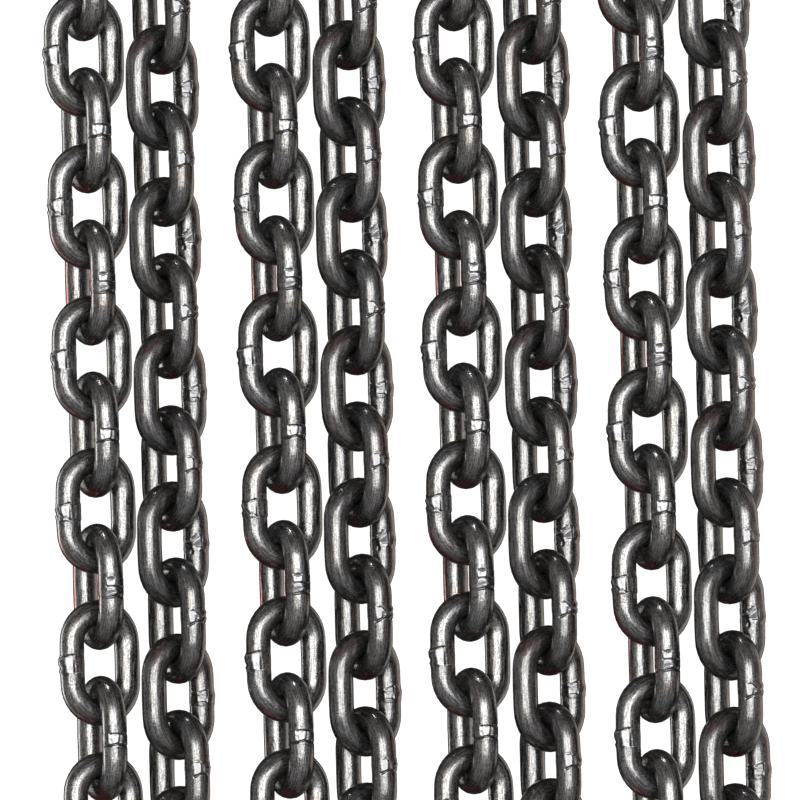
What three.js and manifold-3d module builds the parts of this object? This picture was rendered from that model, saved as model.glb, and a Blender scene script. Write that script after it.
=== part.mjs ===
// Short-link lifting chain: eight equal cut lengths, laid straight and side by side in four pairs.
// Millimetres. +X runs across the lengths, +Y along them and +Z up. The origin is on the floor,
// under the middle of the whole lay.
import * as THREE from 'three';
import { mergeVertices } from 'three/addons/utils/BufferGeometryUtils.js';
import Module from 'manifold-3d';

// The chain: round bar, pitch three bars long, and an eye 1.3 bars wide
const barDiameter = 13;
const pitch = 3 * barDiameter;
const eyeWidth = 1.3 * barDiameter;

// How many links of a length, from its top down, are joined in each of its solids. Joined links bed a
// little into each other where they bear, and two solids keep a gap. The one beside an end link narrows
// to half of endGap beside the crowns' tops.
const joinedLinks = [1, 2, 2, 3, 2, 2, 1];
const bedding = 0.3;
const innerGap = 0.3;
const endGap = 0.6;

// Faces on the bar's section, and faces on each crown from leg to leg
const barFaces = 8;
const crownFaces = 4;
const endCrownFaces = 6;

// Where each pair lies, measured from the first pair, and where a pair's second length lies in it
const pairPlaces = [
  { across: 0, along: 0 },
  { across: 98.7, along: -0.5 },
  { across: 195.8, along: -0.4 },
  { across: 292.3, along: -44.2 },
];
const secondInPair = { across: 40.8, along: -18.3 };

// A length at rest crosses its links at 45 degrees to the floor, and each of these has rolled a
// little off that, the two of a pair away from each other
const evenRoll = THREE.MathUtils.degToRad(45);
const rollOff = THREE.MathUtils.degToRad(5.75);

const barRadius = barDiameter / 2;
const legOffset = (eyeWidth + barDiameter) / 2;
const axisHeight = barRadius + legOffset * Math.cos(evenRoll - rollOff);
const lastLink = joinedLinks.reduce((sum, count) => sum + count) - 1;

// The middle of the whole lay, measured from the middle of the first length
const lastPair = pairPlaces[pairPlaces.length - 1];
const layCentre = {
  across: (lastPair.across + secondInPair.across) / 2,
  along: (lastPair.along + secondInPair.along) / 2,
};

const steel = { color: 0x3c3b3a, roughness: 0.32, metalness: 1 };

// The corners of a link's centreline, each with the way outwards from the middle of its crown.
// Every straight between two corners touches the true round crown at its own middle.
// The twist is 1 beside a leg, dies away to 0 beside the crown's top and is the other way past it.
// halfEyes says how far the eye reaches above the link's middle, and how far below it.
function centreline(faces, halfEyes) {
  const step = Math.PI / faces;
  const cornerRadius = legOffset / Math.cos(step / 2);
  const corners = [];
  halfEyes.forEach((halfEye, end) => {
    const crownCentre = halfEye + barRadius - legOffset;
    for (let i = 0; i < faces; i++) {
      const angle = end * Math.PI + (i + 0.5) * step;
      const outward = new THREE.Vector2(Math.cos(angle), Math.sin(angle));
      const at = outward.clone().multiplyScalar(cornerRadius);
      at.y += end === 0 ? crownCentre : -crownCentre;
      const fromLeg = Math.min(i, faces - 1 - i);
      corners.push({ at, outward, twist: Math.sign(outward.x) * (1 - fromLeg / (faces / 2 - 1)) });
    }
  });
  return corners;
}

// One link, flat in the XY plane: the bar's section carried round the centreline and back to its start.
// Each leg's section is turned by faceTurn, one way on one leg and the other way on the other.
function linkGeometry(faces, faceTurn, halfEyes) {
  const cornerToFace = Math.PI / barFaces;
  const sectionRadius = barRadius / Math.cos(cornerToFace);
  const mitre = 1 / Math.cos(Math.PI / faces / 2);
  const corners = centreline(faces, halfEyes);
  const positions = [];
  for (const { at, outward, twist } of corners) {
    for (let j = 0; j < barFaces; j++) {
      const angle = (2 * j + 1) * cornerToFace + faceTurn * twist;
      const out = sectionRadius * Math.cos(angle) * mitre;
      const up = sectionRadius * Math.sin(angle);
      positions.push(at.x + out * outward.x, at.y + out * outward.y, up);
    }
  }
  const indices = [];
  for (let i = 0; i < corners.length; i++) {
    const next = (i + 1) % corners.length;
    for (let j = 0; j < barFaces; j++) {
      const side = (j + 1) % barFaces;
      const [a, b] = [i * barFaces + j, i * barFaces + side];
      const [c, d] = [next * barFaces + side, next * barFaces + j];
      indices.push(a, c, b, a, d, c);
    }
  }
  const geometry = new THREE.BufferGeometry();
  geometry.setAttribute('position', new THREE.Float32BufferAttribute(positions, 3));
  geometry.setIndex(indices);
  return geometry;
}

// Joins closed geometries into one, through manifold-3d
const wasm = await Module();
wasm.setup();

function toSolid(geometry) {
  const merged = mergeVertices(geometry);
  return new wasm.Manifold(new wasm.Mesh({
    numProp: 3,
    vertProperties: merged.attributes.position.array,
    triVerts: new Uint32Array(merged.index.array),
  }));
}

function fuse(geometries) {
  const solid = geometries.map(toSolid).reduce((joined, next) => joined.add(next));
  const mesh = solid.getMesh();
  const geometry = new THREE.BufferGeometry();
  geometry.setAttribute('position', new THREE.BufferAttribute(mesh.vertProperties, 3));
  geometry.setIndex(new THREE.BufferAttribute(mesh.triVerts, 1));
  return geometry;
}

// A link at its place in a length: the odd ones are turned a quarter turn from the even ones.
// spare lengthens the upper and the lower half of its eye, so that it clears or beds into a neighbour.
function placedLink(index, roll, spare) {
  const faces = index === 0 || index === lastLink ? endCrownFaces : crownFaces;
  const quarterTurn = index % 2 ? -Math.PI / 2 : 0;
  return linkGeometry(faces, roll - evenRoll, spare.map((extra) => (pitch + extra) / 2))
    .rotateY(roll + quarterTurn)
    .translate(0, (lastLink / 2 - index) * pitch, 0);
}

// How much longer than half a pitch a link's eye is on the side of its neighbour
function spareAt(index, neighbour, first, last) {
  if (neighbour < 0 || neighbour > lastLink) return 0;
  if (neighbour >= first && neighbour <= last) return -bedding;
  return [0, lastLink].some((end) => end === index || end === neighbour) ? endGap : innerGap;
}

function solidName(number, first, last) {
  if (first === 0) return `length_${number}_top_link`;
  if (last === lastLink) return `length_${number}_bottom_link`;
  return `length_${number}_links_${first + 1}_${last + 1}`;
}

// One cut length, from its top link down to its bottom link
function chainLength(number, roll) {
  const length = new THREE.Group();
  let first = 0;
  for (const count of joinedLinks) {
    const last = first + count - 1;
    const links = [];
    for (let i = first; i <= last; i++) {
      links.push(placedLink(i, roll, [spareAt(i, i - 1, first, last), spareAt(i, i + 1, first, last)]));
    }
    const mesh = new THREE.Mesh(fuse(links), new THREE.MeshStandardMaterial(steel));
    mesh.name = solidName(number, first, last);
    length.add(mesh);
    first = last + 1;
  }
  return length;
}

const chain = new THREE.Group();
pairPlaces.forEach((pair, p) => {
  [evenRoll - rollOff, evenRoll + rollOff].forEach((roll, second) => {
    const length = chainLength(2 * p + second + 1, roll);
    length.position.set(
      pair.across + second * secondInPair.across - layCentre.across,
      pair.along + second * secondInPair.along - layCentre.along,
      axisHeight,
    );
    chain.add(length);
  });
});

export default chain;
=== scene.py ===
import math

import bpy
import numpy as np
from mathutils import Matrix, Vector


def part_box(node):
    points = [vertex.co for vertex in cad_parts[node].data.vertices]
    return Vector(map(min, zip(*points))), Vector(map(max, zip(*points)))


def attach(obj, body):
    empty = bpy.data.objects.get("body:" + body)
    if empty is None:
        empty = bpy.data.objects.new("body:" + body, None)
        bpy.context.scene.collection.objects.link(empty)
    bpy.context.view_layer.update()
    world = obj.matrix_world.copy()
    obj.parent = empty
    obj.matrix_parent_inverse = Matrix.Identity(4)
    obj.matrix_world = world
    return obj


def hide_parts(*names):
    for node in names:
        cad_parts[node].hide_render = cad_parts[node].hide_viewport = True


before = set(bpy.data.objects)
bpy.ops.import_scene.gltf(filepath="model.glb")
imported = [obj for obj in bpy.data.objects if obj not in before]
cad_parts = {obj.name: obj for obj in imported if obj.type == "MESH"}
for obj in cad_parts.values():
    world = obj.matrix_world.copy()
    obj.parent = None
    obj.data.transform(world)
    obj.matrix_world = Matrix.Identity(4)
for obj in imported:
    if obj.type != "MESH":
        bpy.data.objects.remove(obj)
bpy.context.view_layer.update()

print("frame loaded")

mm = 0.001  # the chain's own sizes are in millimetres

# The camera looks down on the lengths from a little to the right of straight above
view = {
    "tilt": 14.25,  # degrees from straight above, to the right
    "lean": 1.5,  # degrees that the lengths lean in the picture
    "aim": (-0.00425, 0.0059, 0.01808),
    "width": 0.409,  # metres across the picture
    "lens": 1500.0,  # mm, so long that the lengths look parallel
    "sensor": 36.0,  # mm
    "farthest": 100.0,  # metres that the camera sees
}

tilt = math.radians(view["tilt"])
towardCamera = Vector((math.sin(tilt), 0, math.cos(tilt)))
pictureRight = Vector((math.cos(tilt), 0, -math.sin(tilt)))
alongLengths = Vector((0, 1, 0))


def addCamera():
    lean = math.radians(view["lean"])
    up = alongLengths * math.cos(lean) + pictureRight * math.sin(lean)
    right = pictureRight * math.cos(lean) - alongLengths * math.sin(lean)
    camera = bpy.data.objects.new("camera", bpy.data.cameras.new("camera"))
    camera.data.sensor_width = view["sensor"]
    camera.data.lens = view["lens"]
    camera.data.clip_end = view["farthest"]
    distance = view["width"] * view["lens"] / view["sensor"]
    place = Vector(view["aim"]) + towardCamera * distance
    turn = Matrix((right, up, towardCamera)).transposed().to_4x4()
    camera.matrix_world = Matrix.Translation(place) @ turn
    bpy.context.collection.objects.link(camera)
    bpy.context.scene.camera = camera


addCamera()
print("camera set")

# The lengths and their links, in mm. A link is made lying flat: +y is up its length and the two
# legs are at -x and +x
link = {
    "lengths": 8,
    "count": 13,  # links in a length
    "bar": 13.0,
    "pitch": 39.0,
    "eyeWidth": 16.9,
    "rolls": (39.25, 50.75),  # degrees that the first and second length of a pair lie rolled
    "legBow": 0.45,  # how far the legs swell outward at the middle
    "barFaces": 30,
    "crownRings": 18,
    "legRings": 8,  # on the leg without the weld
    "fineReach": 6.8,  # the weld has finer rings this far up and down
    "fineStep": 0.285,
    "betweenRing": 9.0,  # one coarse ring between the fine ones and each crown
    "fineFade": 2.2,  # the scar fades out over the last of the fine rings
    "wornFrom": 0.75,  # a crown's wear starts here, by how far it faces sideways
    "firstSeed": 11,
    "seedStep": 20,  # from one kind of link to the next
}

barRadius = link["bar"] / 2
legOffset = (link["eyeWidth"] + link["bar"]) / 2
crownCentre = (link["pitch"] + link["bar"]) / 2 - legOffset

# The weld scars, one for each kind of link that the lay repeats. Sizes are in picture dots, as seen
# square on: x across the bar from its middle to the right, y down the leg from the link's middle.
#   leg: the one with the weld, -1 on the left and 1 on the right
#   worn: how many mm flatter the left and the right leg is worn, and how many degrees to the right
#     of facing the camera
#   shadeAllOver: painted shade all over the link, the least darkening that it has, on the second
#       lengths beside the first
#   collar: its top, its bottom, and its rise in mm at some x
#   flats: outline, the way it faces to the right and upward in degrees, its distance from the bar's
#     middle, how bright and how mottled it is
#   cuts: points, width, depth in mm
#   ridges: left, right, top, bottom, step, height in mm
#   lumps: x, y, size, rise in mm
#   scratches: points, width
pictureDot = 0.5113  # mm
scars = {
    "firstWideA": {
        "leg": -1,
        "worn": {-1: (0.7, 45.0), 1: (0.8, 0.0)},
        "collar": (-7.5, 9.0, [(-12.7, 0.3), (-7, 0.3), (1, 0.05), (12.7, 0.0)]),
        "flats": [
            ([(-6.9, -6.2), (-7.4, -1.5), (-7.0, 2.5), (-6.2, 8.4), (1.2, 9.0), (1.2, -8.2)],
             -8, 2, 12.25, 1.0, 0.15),
            ([(1.6, -7.5), (9.4, -7.0), (9.4, 8.2), (1.6, 8.6)], 31, 0, 12.0, 0.0, 0.3),
        ],
        "cuts": [
            ([(-11, -6.8), (-7, -7.6), (-2, -8.4), (1.6, -8.8)], 0.8, 0.5),
            ([(1.9, -7.4), (2.2, 0), (2.4, 8.4)], 1.3, 0.5),
            ([(-8.0, 2), (-7.4, 6), (-8.6, 9), (-6.4, 12), (-8.0, 16.5)], 1.1, 0.35),
        ],
        "ridges": [(3.4, 9.0, -7.0, 8.0, 2.3, 0.055)],
        "lumps": [
            (-12.6, -3.0, 2.8, 0.75), (-13.0, 0.8, 1.8, 0.45), (-12.8, 4.6, 1.1, -0.45),
            (-12.4, 7.2, 1.4, 0.35), (-12.6, 11.5, 2.2, 0.25), (-2.4, 3.0, 1.0, -0.14),
            (-1.0, 5.2, 1.0, -0.14), (-3.6, 5.2, 0.8, -0.12), (-6.0, 10.5, 1.0, -0.3),
            (-5.6, 14.5, 1.0, -0.25), (-9.6, -3.2, 1.0, -0.3),
        ],
        "scratches": [
            ([(1, 9.2), (5, 9.0), (9.5, 8.8)], 0.5),
            ([(-12.4, -4.5), (-9.6, -5.6)], 0.9),
        ],
    },
    "firstWideB": {
        "leg": -1,
        "worn": {-1: (0.6, 45.0), 1: (0.8, 0.0)},
        "collar": (-7.5, 8.5, [(-12.7, 0.25), (-7, 0.35), (1, 0.15), (9, 0.05), (12.7, 0.4)]),
        "flats": [
            ([(-5.8, -6.0), (-7.6, -3.6), (-7.4, -0.6), (-5.4, 3.4), (1.0, 7.4), (1.0, -7.6)],
             -8, 2, 12.2, 1.0, 0.3),
            ([(1.6, -7), (8.6, -6.5), (8.6, 7.5), (1.6, 7.6)], 31, 0, 12.0, 0.0, 0.3),
        ],
        "cuts": [
            ([(-11, -6.0), (-5, -7.2), (1.4, -8.4)], 0.75, 0.5),
            ([(1.8, -7), (2.0, 0), (2.0, 7)], 1.2, 0.5),
            ([(-7.8, 2.0), (-5.6, 5.6), (-3, 7.0)], 1.0, 0.3),
        ],
        "ridges": [(3.0, 8.2, -7.0, 7.0, 2.2, 0.055)],
        "lumps": [
            (-12.8, -2.5, 1.6, 0.35), (-12.6, 2.5, 1.2, -0.4), (-12.8, 5.2, 1.4, 0.3),
            (-9.7, 3.7, 1.7, -0.45), (-7.8, 10.8, 1.6, -0.45), (-9.5, -3.0, 1.5, -0.35),
            (-9.0, 13.5, 1.2, -0.3), (-9.8, 7.5, 1.3, -0.3), (-3.2, -1.2, 1.1, -0.14),
            (-2.0, 0.8, 1.0, -0.14), (-2.0, 3.8, 0.8, -0.12), (-3.6, 1.6, 0.7, -0.1),
        ],
        "scratches": [
            ([(-6.6, 11.2), (-5.8, 11.6)], 0.8),
            ([(-11.6, -4.2), (-10.6, 0.4)], 0.7),
            ([(-10.6, 2.2), (-7.4, 4.8)], 0.5),
            ([(-5.2, 6.2), (-1, 8.4), (2, 9.6), (5.5, 10.4)], 0.4),
        ],
    },
    "firstNarrowA": {
        "leg": 1,
        "worn": {-1: (0.4, -25.0), 1: (0.4, 40.0)},
        "collar": (-4.8, 5.0, [(-12.7, 0.15), (0, 0.2), (12.7, 0.1)]),
        "flats": [
            ([(-5.4, -4.2), (-1.8, -4.4), (-1.8, 4.6), (-5.2, 5.2)], -9, 2, 12.2, 0.7, 0.75),
            ([(-1.8, -4.3), (5.2, -4.4), (4.7, 1.8), (0.5, 3.6), (-1.6, 4.0)],
             2, 3, 12.3, 1.0, 0.15),
            ([(5.4, -4.2), (12, -3.8), (12, 5), (3.8, 3.4)], 15, 2, 12.2, 0.7, 0.6),
        ],
        "cuts": [
            ([(-4.8, -4.9), (-1, -5.3), (4, -5.3), (12.6, -4.9)], 0.75, 0.5),
            ([(-10, 8.0), (-5.5, 6.8), (-2, 5.8), (1, 4.8), (4, 4.6), (7, 6.2), (12.2, 7.6)],
             1.1, 0.5),
        ],
        "ridges": [],
        "lumps": [
            (8.6, 2.4, 0.9, -0.15), (5.4, 3.4, 0.9, -0.25), (1.8, 6.2, 0.8, -0.2),
            (-3.4, 7.4, 0.9, -0.2), (5.8, 8.4, 1.1, -0.3), (8.4, 9.4, 1.0, -0.25),
            (0.5, -8.5, 0.9, -0.15), (3.6, -12.5, 0.8, -0.12), (-4.4, 1.0, 0.9, -0.15),
        ],
        "scratches": [([(3.4, 7.0), (6.6, 8.0)], 0.6), ([(-2.5, 8.0), (-1.5, 7.0)], 0.6)],
    },
    "firstNarrowB": {
        "leg": 1,
        "worn": {-1: (0.3, 45.0), 1: (0.2, 30.0)},
        "collar": (-7.6, 9.6, [(-12.7, 0.05), (12.7, 0.15)]),
        "flats": [
            ([(-3.8, -6.6), (4.6, -6.9), (4.6, -1.8), (-3.4, -1.5)], 2, 4, 12.45, 1.0, 0.3),
            ([(-3.8, 0.5), (4.3, 0.3), (5.2, 2.0), (-4.2, 2.6)], 2, 4, 12.4, 1.0, 0.1),
            ([(-4.2, 2.4), (5.2, 1.8), (6.6, 5.2), (-5.3, 9.3)], 4, -14, 12.3, 1.0, 0.35),
        ],
        "cuts": [
            ([(-2.6, -8.2), (1, -8.9), (3.8, -8.2)], 1.0, 0.3),
            ([(-3.4, -0.4), (2, -0.8), (6.6, -0.5), (11, 0.6)], 0.7, 0.4),
            ([(-11, 12.4), (-5, 11.4), (0, 10.6), (6, 9.2), (11, 11)], 2.2, 0.5),
        ],
        "ridges": [(-5.0, 6.0, 3.0, 9.0, 1.5, 0.05)],
        "lumps": [
            (8.5, 2.5, 1.4, -0.25), (9.8, 5.4, 1.2, -0.25), (8.0, 7.6, 1.2, -0.25),
            (0.6, 13.0, 1.4, -0.3), (-1.5, -4.6, 0.8, -0.1),
        ],
        "scratches": [([(12.0, -0.2), (12.7, 0.8)], 0.7)],
    },
    "secondWideA": {
        "leg": 1,
        "worn": {-1: (0.35, 40.0), 1: (0.4, 40.0)},
        "shadeAllOver": 0.32,
        "collar": (-6.0, 9.0, [(-12.7, 0.1), (0, 0.1), (12.7, 0.3)]),
        "flats": [
            ([(-3.8, -1.6), (-1.4, -2.8), (5.0, -6.0), (5.4, 5.4), (-0.4, 5.8), (-3.4, 4.6)],
             6, -3.5, 12.3, 0.9, 0.5),
            ([(-4.6, -0.6), (-2.6, -1.0), (-1.2, 5.4), (-3.2, 4.8)], -4, 0, 12.3, 1.0, 0.2),
        ],
        "cuts": [
            ([(-2.4, -3.6), (1, -4.9), (5.4, -6.4)], 0.75, 0.4),
            ([(-11, -4.0), (-7.5, -2.5), (-6.2, 1), (-6.6, 6), (-9, 9)], 1.5, 0.4),
            ([(6.0, -6), (5.6, 0), (5.0, 6)], 0.7, 0.25),
        ],
        "ridges": [(-1.5, 6.0, -4.5, 6.0, 1.5, 0.03)],
        "lumps": [
            (-9.0, 0.8, 1.8, -0.45), (-8.0, 5.0, 1.5, -0.4), (-10.4, 4.4, 1.4, -0.35),
            (-5.8, 8.6, 1.0, -0.3), (11.8, -5.4, 1.1, -0.3), (12.6, 0, 3.0, 0.3),
            (11.6, 6.6, 1.0, -0.3),
        ],
        "scratches": [
            ([(-2.4, -4.6), (1, -6.0), (4.4, -7.6)], 0.9),
            ([(-4.8, -2.8), (-4.2, -2.2)], 0.9),
            ([(-7.6, 9), (-7.4, 13.5)], 0.5),
            ([(1.4, 3.4), (2.0, 6.4)], 0.5),
            ([(0.6, -2), (0.4, 2)], 0.4),
        ],
    },
    "secondWideB": {
        "leg": 1,
        "worn": {-1: (0.3, 55.0), 1: (0.2, 40.0)},
        "shadeAllOver": 0.32,
        "collar": (-8.5, 6.0, [(-12.7, 0.1), (0, 0.1), (12.7, 0.25)]),
        "flats": [
            ([(-4.2, -2.2), (3.2, -6.8), (4.6, -5.0), (4.8, 2.8), (1.0, 3.2), (-3.2, 2.6)],
             10, -11, 12.3, 0.8, 0.5),
            ([(-3.4, 2.8), (1.0, 3.4), (4.6, 3.0), (2.4, 6.2), (-2.4, 6.0)], 1, 0, 12.4, 1.0, 0.1),
        ],
        "cuts": [
            ([(-5.0, -1.6), (-1, -3.9), (3.0, -6.6)], 0.7, 0.4),
            ([(-4.2, -5.0), (0.2, -8.2), (1.2, -9.6)], 0.9, 0.35),
            ([(-10.5, -1.0), (-6.6, -0.5), (-5.8, 3), (-4.4, 6), (-4.8, 9)], 1.6, 0.45),
            ([(6.2, -9), (5.8, 0), (6.4, 6)], 0.7, 0.3),
        ],
        "ridges": [(-1.0, 4.8, -4.5, 3.0, 1.5, 0.03)],
        "lumps": [
            (-8.8, 1.2, 2.0, -0.45), (-7.2, 5.0, 1.8, -0.45), (-9.6, 8.0, 1.4, -0.35),
            (10.8, 6.6, 1.5, -0.5), (11.4, -6.5, 1.2, -0.3), (12.6, 0, 2.6, 0.25),
            (-1.0, -6.2, 1.2, -0.25),
        ],
        "scratches": [
            ([(-2.3, -12.2), (1, -10.9), (2.8, -9.2), (0.8, -6.6), (-4.4, -3.0)], 0.65),
            ([(-5.3, -2.8), (-4.7, -2.4)], 1.0),
            ([(4.7, -5.5), (4.6, 0), (4.9, 5.2)], 0.5),
            ([(-12, -2.4), (-7, -3.0)], 0.5),
        ],
    },
    "secondNarrowA": {
        "leg": 1,
        "worn": {-1: (0.0, 0.0), 1: (0.35, 35.0)},
        "shadeAllOver": 0.32,
        "collar": (-11.8, 2.0, [(-12.7, 0.1), (0, 0.15), (12.7, 0.3)]),
        "flats": [
            ([(-2.6, -10.9), (1.8, -10.6), (4.4, -6.3), (4.2, -1.8), (-1.0, 1.8), (-2.2, -3.0)],
             2, 3, 12.45, 1.0, 0.15),
            ([(4.8, -8.6), (9.6, -8.0), (9.4, 0.6), (4.8, -0.6)], 20, 2, 12.3, 0.7, 0.6),
        ],
        "cuts": [
            ([(-2.0, -12.2), (1.6, -11.8), (5.0, -8.2)], 0.75, 0.4),
            ([(-2.8, 4.2), (0, 2.7), (3, 1.2), (6.5, 0.9), (13, 2.1)], 0.85, 0.55),
        ],
        "ridges": [(5.0, 10.5, -10.0, 0.5, 1.8, 0.12)],
        "lumps": [
            (9, -6, 1.2, -0.3), (8, -9.5, 1.1, -0.25), (10.8, -2.5, 1.1, -0.3),
            (0.8, -1.5, 0.7, -0.08), (9.6, -13, 1.2, -0.3), (12.6, -5, 2.4, 0.25),
        ],
        "scratches": [([(5.2, -6.5), (8.2, -5.4)], 0.6), ([(6.0, -3.4), (8.6, -2.6)], 0.5)],
    },
    "secondNarrowB": {
        "leg": 1,
        "worn": {-1: (0.0, 0.0), 1: (0.5, 40.0)},
        "shadeAllOver": 0.32,
        "collar": (-10.8, 2.2, [(-12.7, 0.1), (0, 0.15), (12.7, 0.35)]),
        "flats": [
            ([(-3.6, -10.5), (0.2, -9.8), (3.2, -7.0), (2.4, -1.0), (-2.6, 2.9), (-3.2, -3.0)],
             2, 3, 12.45, 1.0, 0.15),
            ([(3.2, -7.2), (7.4, -4.6), (4.4, -0.2), (2.4, 0.6)], 12, -13, 12.35, 0.9, 0.5),
        ],
        "cuts": [
            ([(-0.5, -10.8), (3, -8.8), (7.6, -5.6), (8.6, -3)], 0.7, 0.35),
            ([(-4.6, 4.8), (0.8, 2.5), (6.0, -0.2), (8, 1.0), (12.8, 2.4)], 0.9, 0.55),
        ],
        "ridges": [(0.5, 6.5, -7.0, -1.0, 1.4, 0.05)],
        "lumps": [
            (2.8, -4.0, 1.5, -0.14), (9.6, -6.0, 1.2, -0.4), (11.3, -3.4, 1.0, -0.35),
            (9.6, -1.6, 0.9, -0.3), (8.8, -9.4, 1.0, -0.3), (12.4, -7.6, 1.6, 0.35),
            (12.6, -1.8, 1.4, 0.3),
        ],
        "scratches": [([(6.8, -4.4), (8.6, -5.8)], 0.6), ([(9.6, -3.6), (10.6, -4.6)], 0.5)],
    },
}

# How all the scars are made. Sizes are in picture dots and heights in mm
weld = {
    "outlineSoft": 0.7,  # how softly a flat ends
    "collarSoft": (2, 1),  # outward and inward of its edge
    "flatsEnd": 0.2,  # where the flats fade out at the bar's sides, as a cosine
    "front": (-0.35, 0.1),  # where all else fades out behind them
    "flatTop": 0.3,  # the highest that a flat stands off the bar
    "leastFacing": 0.2,  # the least cosine that a flat is carried round the bar by
    "flatRough": (0.012, 0.02),  # when plain, and how much more when fully mottled
    "mottleFrom": (-0.5, 1.1),  # where the speckle turns to dirt
    "ridgeSoft": (0.7, 0.3),
    "ridgeEndSoft": (1, 1),
    "ridgeLean": 0.06,
    # painted shade in a lump that goes inward
    "pitShade": 0.7,  # in a lump that goes inward
    "scratchRise": 0.12,
    "scratchShine": 1.6,
    # behind, the collar's two edges are plain grooves, with painted shade in them
    "grooveOut": 0.6,
    "grooveDepth": 0.2,
    "grooveShade": 0.8,
}

# Traces of red on the bar's outside, seen as the picture shows the link: points with x to the right
# and y down from the link's middle, the width of the trace and its strength
redTraces = {
    "firstWideA": [([(-25, 50), (-17, 56), (-10, 59)], 2.6, 0.6)],
    "firstWideB": [([(-38.5, 25), (-33, 43), (-21, 56), (-10, 60)], 2.4, 0.7)],
    "firstNarrowA": [([(-9, 58), (2, 59)], 3.6, 0.9)],
    "firstNarrowB": [
        ([(-24.6, -20), (-24.6, 24)], 1.8, 1.0),
        ([(0.2, -16), (0.2, 16)], 1.8, 0.8),
        ([(0, 59), (4, 59)], 3.0, 0.5),
    ],
    "secondWideA": [
        ([(-24, -42), (-17, -48), (-10, -51)], 4.0, 0.35),
        ([(33, -30), (36, -8), (36, 12)], 4.0, 0.14),
    ],
    "secondWideB": [([(35, -24), (36, 24)], 4.0, 0.08)],
    "secondNarrowA": [
        ([(-8, 59), (-1, 59)], 3.2, 1.0),
        ([(25, -34), (27, -10), (27, 16)], 5.0, 0.14),
    ],
    "secondNarrowB": [([(-4, 59), (3, 59)], 2.8, 1.0), ([(26, -20), (27, 20)], 4.5, 0.10)],
}
redCover = 0.5  # the higher, the fewer gaps in a trace
redEdge = 0.6  # how softly it breaks up

# Seeded unevenness: its height in mm unless noted, its size in mm, and what it adds to the seed
uneven = {
    "wander": (0.8, 9, 0),  # of the collar's edges, in picture dots
    "collar": (0.03, 2.2, 1),
    "speckle": (1.0, 1.1, 2),  # scaled where it is used
    "redPatches": (0.4, 3, 5),  # as a share of full red
    "redSpecks": (0.4, 1.3, 6),
    "drawn": (0.035, 11, 7),  # slow unevenness of bar that was drawn, bent and hammered
    "hammered": (0.015, 4, 8),
}
waveCount = 9
waveSpread = (0.6, 1.5)  # how the waves' fineness varies


# Smooth noise at each point, from a few waves in random directions
def waves(points, which, seed):
    height, size, ownSeed = uneven[which]
    rng = np.random.default_rng(seed + ownSeed)
    total = np.zeros(len(points))
    for _ in range(waveCount):
        way = rng.normal(size=3)
        way *= 2 * math.pi / size / np.linalg.norm(way) * rng.uniform(*waveSpread)
        total += np.sin(points @ way + rng.uniform(0, 2 * math.pi))
    return height * (total / math.sqrt(waveCount))


# 0 below low and 1 above high
def smooth(low, high, value):
    t = np.clip((value - low) / (high - low), 0, 1)
    return t * t * (3 - 2 * t)


# 1 between low and high and 0 outside them
def band(value, low, high, soft):
    outward, inward = soft
    rises = smooth(low - outward, low + inward, value)
    return rises * (1 - smooth(high - inward, high + outward, value))


def lineDistance(points, x, y):
    best = np.full(x.shape, np.inf)
    for (ax, ay), (bx, by) in zip(points, points[1:]):
        dx, dy = bx - ax, by - ay
        t = np.clip(((x - ax) * dx + (y - ay) * dy) / (dx * dx + dy * dy), 0, 1)
        best = np.minimum(best, np.hypot(x - ax - t * dx, y - ay - t * dy))
    return best


# 1 on the line and 0 well away from it
def nearLine(points, width, x, y):
    return np.exp(-((lineDistance(points, x, y) / width) ** 2))


# 1 inside the outline and 0 outside it
def insideOf(outline, x, y):
    inside = np.zeros(x.shape, bool)
    for (ax, ay), (bx, by) in zip(outline, outline[1:] + outline[:1]):
        crosses = (ay > y) != (by > y)
        slope = (bx - ax) / (by - ay) if by != ay else 0
        inside ^= crosses & (x < ax + (y - ay) * slope)
    edge = lineDistance(outline + outline[:1], x, y)
    return smooth(-weld["outlineSoft"], weld["outlineSoft"], np.where(inside, edge, -edge))
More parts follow.
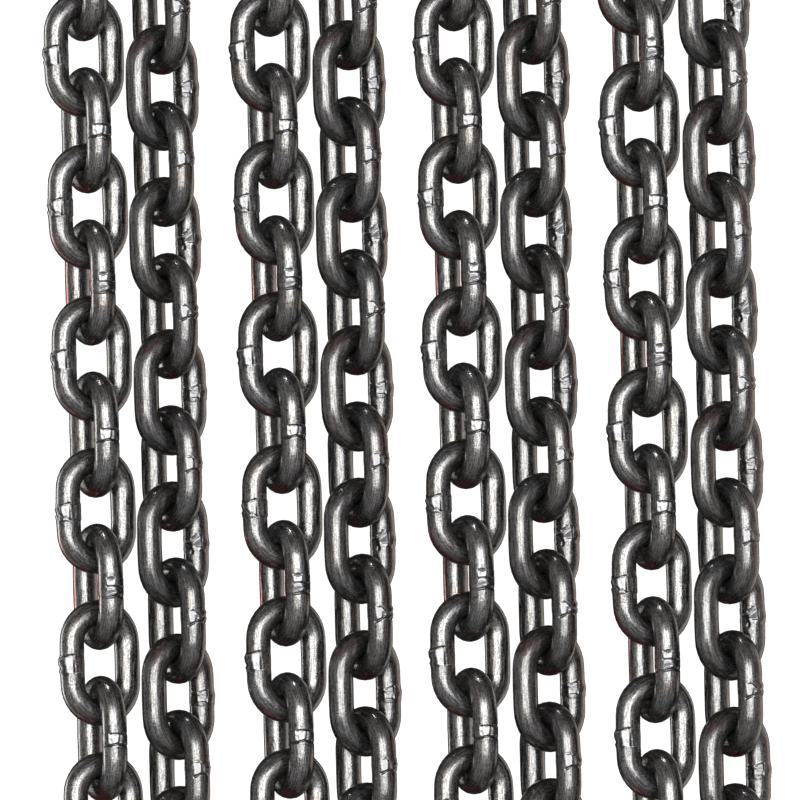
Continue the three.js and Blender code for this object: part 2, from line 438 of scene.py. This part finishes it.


# The lift in mm, the shine, and the dirt and painted shade at each point of a scar. x and y are in
# picture dots, and side is the angle from facing the camera to the right
def weldRelief(scar, x, y, side, seed):
    top, bottom, rises = scar["collar"]
    around = np.column_stack([barRadius * np.cos(side), barRadius * np.sin(side), y * pictureDot])
    speckle = waves(around, "speckle", seed)
    wander = waves(around, "wander", seed)
    collar = band(y - wander, top, bottom, weld["collarSoft"])
    lift = collar * (np.interp(x, *zip(*rises)) + waves(around, "collar", seed))
    front = smooth(*weld["front"], np.cos(side))
    shine = np.zeros(x.shape)
    dirtAndShade = np.zeros(x.shape)
    plainRough, mottledRough = weld["flatRough"]
    for outline, across, upward, height, bright, mottled in scar["flats"]:
        within = insideOf(outline, x, y) * smooth(0, weld["flatsEnd"], np.cos(side))
        middle = np.mean([point[1] for point in outline])
        face = height + np.tan(math.radians(upward)) * (y - middle)
        faceTurn = np.maximum(np.cos(side - math.radians(across)), weld["leastFacing"])
        face = np.minimum(face * pictureDot / faceTurn - barRadius, weld["flatTop"])
        face = face + (plainRough + mottledRough * mottled) * speckle
        lift = lift + within * (face - lift)
        shine = np.maximum(shine, bright * within)
        dirtAndShade = np.maximum(dirtAndShade, within * mottled * smooth(*weld["mottleFrom"], speckle))
    for left, right, start, end, step, height in scar["ridges"]:
        within = band(x, left, right, weld["ridgeSoft"]) * band(y, start, end, weld["ridgeEndSoft"])
        ridge = np.sin(2 * math.pi * (x + weld["ridgeLean"] * y) / step)
        lift = lift + within * front * height * ridge
    for points, width, depth in scar["cuts"]:
        cut = nearLine(points, width, x, y) * front
        lift = lift - depth * cut
        # painted shade along the cut
        dirtAndShade = np.maximum(dirtAndShade, cut)
    for px, py, size, rise in scar["lumps"]:
        lump = np.exp(-((x - px) ** 2 + (y - py) ** 2) / size**2) * front
        lift = lift + rise * lump
        if rise < 0:
            # an inward lump gets painted shade in it
            dirtAndShade = np.maximum(dirtAndShade, weld["pitShade"] * lump)
    for points, width in scar["scratches"]:
        line = nearLine(points, width, x, y) * front
        lift = lift + weld["scratchRise"] * line
        shine = np.maximum(shine, weld["scratchShine"] * line)
        dirtAndShade = dirtAndShade * (1 - line)
    for edge in (top - weld["grooveOut"], bottom + weld["grooveOut"]):
        groove = np.exp(-((y - edge - wander) ** 2)) * (1 - front)
        lift = lift - weld["grooveDepth"] * groove
        # painted shade in the groove
        dirtAndShade = np.maximum(dirtAndShade, weld["grooveShade"] * groove)
    return lift, shine, dirtAndShade


# Each ring's centre, its way outward and whether it is fine, round the link from its right leg up
def linkRings(weldLeg):
    reach = link["fineReach"]
    steps = round(2 * reach / link["fineStep"])
    coarse = [crownCentre, link["betweenRing"]]
    rings = []

    def addLeg(side):
        if side == weldLeg:
            ys = [(-y, False) for y in coarse]
            ys += [(y, True) for y in np.linspace(-reach, reach, steps + 1)]
            ys += [(y, False) for y in coarse[::-1]]
        else:
            ys = [(y, False) for y in np.linspace(-crownCentre, crownCentre, link["legRings"])]
        for y, isFine in ys:
            rings.append((side * legOffset, side * y, side, 0.0, isFine))

    def addCrown(end):
        for i in range(1, link["crownRings"]):
            angle = math.pi * i / link["crownRings"] + (0 if end > 0 else math.pi)
            x, y = math.cos(angle), math.sin(angle)
            rings.append((legOffset * x, end * crownCentre + legOffset * y, x, y, False))

    addLeg(1)
    addCrown(1)
    addLeg(-1)
    addCrown(-1)
    return rings


# The angles of the corners round the bar, closer on the side that faces the camera, and the same
# with one more between each two
def barCorners():
    faces = link["barFaces"]
    frontFaces = faces * 2 // 3
    corners = np.concatenate([
        np.linspace(-math.pi / 2, math.pi / 2, frontFaces + 1)[:-1],
        np.linspace(math.pi / 2, 3 * math.pi / 2, faces - frontFaces + 1)[:-1],
    ])
    nextCorners = np.append(corners[1:], corners[0] + 2 * math.pi)
    return corners, np.column_stack([corners, (corners + nextCorners) / 2]).ravel()


# The faces between two rings, of which one may have twice as many corners
def stitch(a, aCount, b, bCount):
    if aCount == bCount:
        pairs = [(i, (i + 1) % aCount) for i in range(aCount)]
        return [(a + i, b + i, b + n, a + n) for i, n in pairs]
    if aCount > bCount:
        return [(p, r, q) for p, q, r in stitch(b, bCount, a, aCount)]
    made = []
    for i in range(aCount):
        here, after = a + i, a + (i + 1) % aCount
        left, middle, right = (b + (2 * i + k) % bCount for k in range(3))
        made += [(here, left, middle), (here, middle, after), (after, middle, right)]
    return made


# A map of the millimetres along the bar and round it. Faces that cross its end carry on past it
def addBarMap(mesh, polygons, along, around, onceAlong):
    corners = np.concatenate(polygons)
    counts = np.array([len(polygon) for polygon in polygons])
    starts = np.cumsum(counts) - counts
    both = []
    for values, once in ((along[corners], onceAlong), (around[corners], 2 * math.pi * barRadius)):
        highest = np.repeat(np.maximum.reduceat(values, starts), counts)
        values[values < highest - once / 2] += once
        both.append(values)
    mesh.uv_layers.new(name="barMap").data.foreach_set("uv", np.column_stack(both).ravel())


# How red each point is, for a link that lies turned by an angle
def redness(kind, points, turned, seed):
    seenX = points[:, 0] * math.cos(turned - tilt) + points[:, 2] * math.sin(turned - tilt)
    red = np.zeros(len(points))
    for line, width, strength in redTraces[kind]:
        trace = nearLine(line, width, seenX / pictureDot, -points[:, 1] / pictureDot)
        red = np.maximum(red, strength * trace)
    broken = waves(points, "redPatches", seed) + waves(points, "redSpecks", seed)
    return red * smooth(-redEdge, redEdge, redCover + broken)


# One kind of link, with its weld, its wear and what is painted on it
def linkMesh(kind, roll, narrow, seed):
    scar = scars[kind]
    turned = math.radians(roll - (90 if narrow else 0))
    # the way to the camera in the link's own frame, and so the side of the bar that faces it
    towardX, towardZ = math.sin(tilt - turned), math.cos(tilt - turned)
    facing = math.atan2(towardZ, scar["leg"] * towardX)
    corners, fineCorners = barCorners()
    rings = linkRings(scar["leg"])
    points, shines, ringDirtAndShade, alongs, arounds, counts = [], [], [], [], [], []
    along = 0.0
    lastX, lastY = rings[0][:2]
    for cx, cy, ox, oy, isFine in rings:
        along += math.hypot(cx - lastX, cy - lastY)
        lastX, lastY = cx, cy
        turn = fineCorners if isFine else corners
        psi = facing + turn
        side = turn * -scar["leg"]
        if isFine:
            x = barRadius / pictureDot * np.sin(side)
            y = np.full(len(turn), -cy / pictureDot)
            edge = smooth(0, link["fineFade"], link["fineReach"] - abs(cy))
            lift, shine, dirtAndShade = (values * edge for values in weldRelief(scar, x, y, side, seed))
        else:
            lift = shine = dirtAndShade = np.zeros(len(turn))
        bow = link["legBow"] * math.cos(math.pi * cy / (2 * (crownCentre + legOffset))) ** 2
        # wear, on the side of each leg that the camera sees
        depth, middle = scar["worn"][1 if ox > 0 else -1]
        fromCamera = (psi - math.atan2(towardZ, ox * towardX)) * -np.sign(ox)
        wear = depth * np.cos(fromCamera - math.radians(middle)).clip(0) ** 2
        radius = barRadius + lift - wear * smooth(link["wornFrom"], 1, abs(ox))
        out, up = np.cos(psi) * radius, np.sin(psi) * radius
        points.append(np.column_stack([cx + (out + bow) * ox, cy + out * oy, up]))
        shines.append(shine)
        ringDirtAndShade.append(dirtAndShade)
        alongs.append(np.full(len(turn), along))
        arounds.append(turn * barRadius)
        counts.append(len(turn))
    points = np.concatenate(points)
    starts = np.cumsum(counts) - counts
    polygons = []
    for k in range(len(rings)):
        n = (k + 1) % len(rings)
        polygons += stitch(starts[k], counts[k], starts[n], counts[n])

    mesh = bpy.data.meshes.new(kind)
    mesh.from_pydata((points * mm).tolist(), [], polygons)
    mesh.update()
    normals = np.empty(len(points) * 3)
    mesh.vertices.foreach_get("normal", normals)
    push = waves(points, "drawn", seed) + waves(points, "hammered", seed)
    points = points + normals.reshape(-1, 3) * push[:, None]
    mesh.vertices.foreach_set("co", (points * mm).ravel())

    painted = {
        "shine": np.concatenate(shines),
        # the second lengths get painted shade all over, for the shade they lie in beside the first
        # lengths
        "dirtAndShade": np.maximum(np.concatenate(ringDirtAndShade), scar.get("shadeAllOver", 0.0)),
        "red": redness(kind, points, turned, seed),
    }
    for label, values in painted.items():
        mesh.attributes.new(label, "FLOAT", "POINT").data.foreach_set("value", values)
    onceAlong = along + math.hypot(rings[0][0] - lastX, rings[0][1] - lastY)
    addBarMap(mesh, polygons, np.concatenate(alongs), np.concatenate(arounds), onceAlong)
    mesh.shade_smooth()
    mesh.update()
    return mesh


# Short ways to add nodes. What goes into a socket is a number, a colour or another node's output
def nodeTools(tree):
    def node(kind, inputs=None, **settings):
        row, column = divmod(len(tree.nodes), 8)  # laid out in rows of eight
        made = tree.nodes.new(kind)
        made.location = (200 * column, -300 * row)
        for key, value in settings.items():
            setattr(made, key, value)
        for key, value in (inputs or {}).items():
            if isinstance(value, bpy.types.NodeSocket):
                tree.links.new(value, made.inputs[key])
            else:
                made.inputs[key].default_value = value
        return made

    def combine(operation, a, b=0.0):
        return node("ShaderNodeMath", {0: a, 1: b}, operation=operation).outputs[0]

    def ramp(value, low, high, start=0.0, end=1.0, shape="LINEAR"):
        inputs = {"Value": value, "From Min": low, "From Max": high, "To Min": start, "To Max": end}
        return node("ShaderNodeMapRange", inputs, interpolation_type=shape).outputs["Result"]

    def mix(factor, a, b, blend="MIX"):
        inputs = {"Factor": factor, "A": a, "B": b}
        made = node("ShaderNodeMix", inputs, data_type="RGBA", blend_type=blend)
        return made.outputs["Result"]

    return node, combine, ramp, mix


# Heat-darkened steel: satin, grained and mottled, drawn lines along the bar, brighter on the planed
# weld, darker with dirt and painted shade. Each noise has its fineness to the metre, but for the
# lines, its detail and its roughness
steel = {
    "dark": (0.034, 0.033, 0.033, 1),
    "light": (0.155, 0.152, 0.152, 1),
    "warm": (1.0, 0.90, 0.82, 1),  # tint of the brown patches
    "bare": (0.17, 0.17, 0.18, 1),  # planed or scratched
    "red": (0.20, 0.034, 0.030, 1),
    # the colour of the dirt and of the painted shade
    "dirtAndShade": (0.012, 0.011, 0.011, 1),
    "metallic": 0.9,
    "roughness": (0.22, 0.34),
    "bareRoughness": 0.45,
    "oil": 0.6,
    "oilFollows": 0.35,  # how much of the grain shows through the oil
    "oilRoughness": 0.10,
    "grain": (1000 / 0.95, 1.5, 0.5),
    "dents": (1000 / 3.0, 2.0, 0.5),
    "mottle": (260.0, 4.0, 0.65),
    "cloud": (60.0, 2.0, 0.5),
    "lines": (1.0, 2.0, 0.6),  # fineness beside lineSize
    "lineSize": (9.0, 0.55),  # mm along the bar and round it
    "lineShare": 1.5,  # how much the lines and the mottle count beside the grain
    "mottleShare": 0.4,
    "lightFrom": (1.31, 1.59),  # where their sum turns from dark to light
    "warmFrom": (0.5, 0.68),  # where the cloud turns warm, and how far at most
    "warmMost": 0.8,
    "roughFrom": (0.3, 0.7),  # where the mottle turns rough
    "bumpDepth": 2.0,  # mm
    "grainHeight": 0.022,
    "dentHeight": 0.030,
    "lineHeight": 0.013,
}


def steelMaterial():
    made = bpy.data.materials.new("chainSteel")
    made.use_nodes = True
    tree = made.node_tree
    tree.nodes.clear()
    node, combine, ramp, mix = nodeTools(tree)

    def noise(which, vector, dimensions="3D"):
        scale, detail, roughness = steel[which]
        inputs = {"Vector": vector, "Scale": scale, "Detail": detail, "Roughness": roughness}
        return node("ShaderNodeTexNoise", inputs, noise_dimensions=dimensions).outputs["Fac"]

    def scaled(value, by):
        return combine("MULTIPLY", value, steel[by])

    place = node("ShaderNodeTexCoord").outputs["Object"]
    barMap = node("ShaderNodeUVMap", uv_map="barMap").outputs["UV"]
    length, width = steel["lineSize"]
    stretch = node("ShaderNodeMapping", {"Vector": barMap, "Scale": (1 / length, 1 / width, 1)})
    grain = noise("grain", place)
    dents = noise("dents", place)
    mottle = noise("mottle", place)
    cloud = noise("cloud", place)
    lines = noise("lines", stretch.outputs["Vector"], "2D")
    shine, dirtAndShade, red = (
        node("ShaderNodeAttribute", attribute_name=label).outputs["Fac"]
        for label in ("shine", "dirtAndShade", "red")
    )

    streaks = combine("ADD", grain, scaled(lines, "lineShare"))
    streaks = combine("ADD", scaled(mottle, "mottleShare"), streaks)
    base = mix(ramp(streaks, *steel["lightFrom"]), steel["dark"], steel["light"])
    warmth = ramp(cloud, *steel["warmFrom"], 0.0, steel["warmMost"])
    base = mix(1.0, base, mix(warmth, (1, 1, 1, 1), steel["warm"]), "MULTIPLY")
    base = mix(red, base, steel["red"])
    base = mix(shine, base, steel["bare"])
    # dirt on the weld's mottled facets, and painted shade in its cuts, pits and grooves and all
    # over the second lengths
    base = mix(dirtAndShade, base, steel["dirtAndShade"])
    rough = ramp(mottle, *steel["roughFrom"], *steel["roughness"])
    rough = combine("MAXIMUM", rough, scaled(shine, "bareRoughness"))

    height = combine("ADD", scaled(grain, "grainHeight"), scaled(dents, "dentHeight"))
    height = combine("ADD", height, scaled(lines, "lineHeight"))
    depth = steel["bumpDepth"] * mm
    bump = node("ShaderNodeBump", {"Strength": 1.0, "Distance": depth, "Height": height})
    film = node("ShaderNodeBump", {
        "Strength": steel["oilFollows"], "Distance": depth, "Height": height})
    shader = node("ShaderNodeBsdfPrincipled", {
        "Base Color": base,
        "Metallic": steel["metallic"],
        "Roughness": rough,
        "Normal": bump.outputs["Normal"],
        "Coat Weight": steel["oil"],
        "Coat Roughness": steel["oilRoughness"],
        "Coat Normal": film.outputs["Normal"],
    })
    node("ShaderNodeOutputMaterial", {"Surface": shader.outputs["BSDF"]})
    return made


chainSteel = steelMaterial()

# Which scar a link has, by its place in the length from the top
scarOrder = ("WideB", "NarrowB", "WideA", "NarrowA")

# How far some links have settled off the even lay: their roll in degrees, mm to the right and mm up
settled = {
    "firstNarrowA": (0.0, 0.3, 0.0),
    "firstNarrowB": (0.4, 0.2, 0.0),
    "secondWideA": (1.65, 0.3, 0.2),
    "secondWideB": (3.3, -0.3, 0.5),
    "secondNarrowB": (-3.3, 0.69, 0.0),
}

# The solids that hold each length's inner links, by their first and last link
innerSolids = ((2, 3), (4, 5), (6, 8), (9, 10), (11, 12))


def nodeOf(number, index):
    if index == 0:
        return f"length_{number}_top_link"
    if index == link["count"] - 1:
        return f"length_{number}_bottom_link"
    first, last = next(span for span in innerSolids if span[0] <= index + 1 <= span[1])
    return f"length_{number}_links_{first}_{last}"


# The middle of a length's axis, from its end solids
def lengthMiddle(number):
    low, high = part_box(f"length_{number}_top_link")
    lowEnd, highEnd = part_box(f"length_{number}_bottom_link")
    middleY = (low[1] + high[1] + lowEnd[1] + highEnd[1]) / 4
    return Vector(((low[0] + high[0]) / 2, middleY, (low[2] + high[2]) / 2))


def addLengths():
    meshes = {}
    for number in range(1, link["lengths"] + 1):
        second = number % 2 == 0
        middle = lengthMiddle(number)
        for index in range(link["count"]):
            narrow = index % 2 == 1
            kind = ("second" if second else "first") + scarOrder[index % len(scarOrder)]
            extraRoll, aside, raised = settled.get(kind, (0.0, 0.0, 0.0))
            roll = link["rolls"][second] + extraRoll
            # the bowed legs stand the chain higher, and what is higher shows further to the left
            raised += link["legBow"]
            aside += link["legBow"] * math.tan(tilt)
            if kind not in meshes:
                seed = link["firstSeed"] + len(meshes) * link["seedStep"]
                meshes[kind] = linkMesh(kind, roll, narrow, seed)
                meshes[kind].materials.append(chainSteel)
            mesh = meshes[kind].copy()
            up = ((link["count"] - 1) / 2 - index) * link["pitch"] * mm
            turn = Matrix.Rotation(math.radians(roll - (90 if narrow else 0)), 4, "Y")
            place = middle + Vector((aside * mm, up, raised * mm))
            mesh.transform(Matrix.Translation(place) @ turn)
            piece = bpy.data.objects.new(f"length_{number}_link_{index + 1:02d}", mesh)
            bpy.context.collection.objects.link(piece)
            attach(piece, "root")
            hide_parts(nodeOf(number, index))
    for mesh in meshes.values():
        bpy.data.meshes.remove(mesh)


addLengths()
print("links made")

# A pale floor that glows like a light table, one soft box before the chain, and dim light from the
# rest of the room. Angles are in degrees as the chain sees them: 0 is towards the camera, then to
# the right across, and up the picture. A light reaches from one angle to another, and the third
# number is how soft its edges are
studio = {
    "floorHalf": 4.0,  # metres
    "floorColour": 0.25,
    "floorGlow": 0.96,
    "box": {
        "across": (-27.0, 29.5, 6.0),
        "up": (-6.5, 21.5, 6.0),
        "radiance": 10.4,
        "left": (1.0, 0.99, 0.92, 1),
        "right": (0.97, 0.985, 1.0, 1),
    },
    # dim light from the camera's side of the room
    "room": (0.325, 0.315, 0.315),
    "roomFades": (-0.55, -0.1),  # cosine to the camera at which it is gone and full
    "behind": 0.08,  # share of it that is left behind the chain
    "overhead": (35.0, 65.0, 0.50),  # from where to where up it fades, and to what share
    "underneath": (-35.0, -65.0, 0.55),
    "halo": {
        "across": (-58.0, 49.0, 12.0),
        "up": (-46.0, 37.0, 12.0),
        "light": (0.55, 0.55, 0.56),
    },
    "leftStrip": {
        "across": (-126.0, -106.0, 3.0),
        "fades": (12.0, 36.0, 0.18),  # the same, both up and down
        "light": (5.2, 5.2, 5.0),
    },
    "leftWall": {
        "across": (-112.0, -72.0, 14.0),
        "up": (-22.0, 22.0, 10.0),
        "light": (0.22, 0.22, 0.21),
    },
    "rightStrip": {
        "across": (106.0, 142.0, 6.0),
        "up": (-40.0, 28.0, 14.0),
        "light": (1.25, 1.15, 1.05),
    },
    "rightWall": {
        "across": (72.0, 112.0, 14.0),
        "light": (0.42, 0.32, 0.26),
    },
    "lamp": {
        "at": (-76.0, 79.0),
        "radius": 2.4,
        "soft": 1.5,
        "light": (70.0, 70.0, 70.0),
    },
}


def addFloor():
    floorMesh = bpy.data.meshes.new("floor")
    half = studio["floorHalf"]
    corners = [(-half, -half, 0), (half, -half, 0), (half, half, 0), (-half, half, 0)]
    floorMesh.from_pydata(corners, [], [(0, 1, 2, 3)])
    floor = bpy.data.objects.new("floor", floorMesh)
    paint = bpy.data.materials.new("paleFloor")
    paint.use_nodes = True
    shader = paint.node_tree.nodes["Principled BSDF"]
    grey = studio["floorColour"]
    shader.inputs["Base Color"].default_value = (grey, grey, grey, 1)
    shader.inputs["Roughness"].default_value = 1.0
    shader.inputs["Specular IOR Level"].default_value = 0.0
    shader.inputs["Emission Color"].default_value = (1, 1, 1, 1)
    shader.inputs["Emission Strength"].default_value = studio["floorGlow"]
    floorMesh.materials.append(paint)
    bpy.context.collection.objects.link(floor)
    # the steel mirrors the room and not the light table
    floor.visible_glossy = False
    floor.visible_shadow = False


def addRoom():
    world = bpy.data.worlds.new("room")
    world.use_nodes = True
    tree = world.node_tree
    node, combine, ramp, mix = nodeTools(tree)
    direction = node("ShaderNodeTexCoord").outputs["Generated"]

    def facing(axis):
        inputs = {0: direction, 1: axis}
        return node("ShaderNodeVectorMath", inputs, operation="DOT_PRODUCT").outputs["Value"]

    toCamera = facing(towardCamera)
    across = combine("ARCTAN2", facing(pictureRight), toCamera)
    upward = combine("ARCSINE", facing(alongLengths))
    across, upward = (combine("MULTIPLY", angle, math.degrees(1)) for angle in (across, upward))

    def between(value, low, high, start=0.0, end=1.0):
        return ramp(value, low, high, start, end, "SMOOTHSTEP")

    def window(value, low, high, soft):
        rises = between(value, low - soft, low + soft)
        return combine("MULTIPLY", rises, between(value, high - soft, high + soft, 1.0, 0.0))

    # where a light is seen, from 0 to 1
    def patch(light):
        seen = window(across, *light["across"])
        if "up" in light:
            seen = combine("MULTIPLY", seen, window(upward, *light["up"]))
        if "fades" in light:
            low, high, share = light["fades"]
            fading = between(combine("ABSOLUTE", upward), low, high, 1.0, share)
            seen = combine("MULTIPLY", seen, fading)
        return seen

    def tinted(amount, colour):
        inputs = {0: colour, "Scale": amount}
        return node("ShaderNodeVectorMath", inputs, operation="SCALE").outputs["Vector"]

    box = studio["box"]
    boxTint = mix(between(across, *box["across"][:2]), box["left"], box["right"])
    lights = [tinted(combine("MULTIPLY", patch(box), box["radiance"]), boxTint)]

    start, end, share = studio["overhead"]
    level = between(upward, start, end, 1.0, share)
    start, end, share = studio["underneath"]
    level = combine("MULTIPLY", level, between(upward, end, start, share, 1.0))
    roomSide = between(toCamera, *studio["roomFades"], studio["behind"])
    lights.append(tinted(combine("MULTIPLY", roomSide, level), studio["room"]))

    for name in ("halo", "leftStrip", "leftWall", "rightStrip", "rightWall"):
        lights.append(tinted(patch(studio[name]), studio[name]["light"]))

    lamp = studio["lamp"]
    aside, raised = (math.radians(angle) for angle in lamp["at"])
    levelWay = pictureRight * math.sin(aside) + towardCamera * math.cos(aside)
    toLamp = facing(levelWay * math.cos(raised) + alongLengths * math.sin(raised))
    rim = math.cos(math.radians(lamp["radius"] + lamp["soft"]))
    core = math.cos(math.radians(lamp["radius"] - lamp["soft"]))
    lights.append(tinted(between(toLamp, rim, core), lamp["light"]))

    total = lights[0]
    for light in lights[1:]:
        added = node("ShaderNodeVectorMath", {0: total, 1: light}, operation="ADD")
        total = added.outputs["Vector"]
    tree.links.new(total, tree.nodes["Background"].inputs["Color"])
    bpy.context.scene.world = world
    bpy.context.scene.view_settings.view_transform = "Standard"


addFloor()
addRoom()
print("studio set")
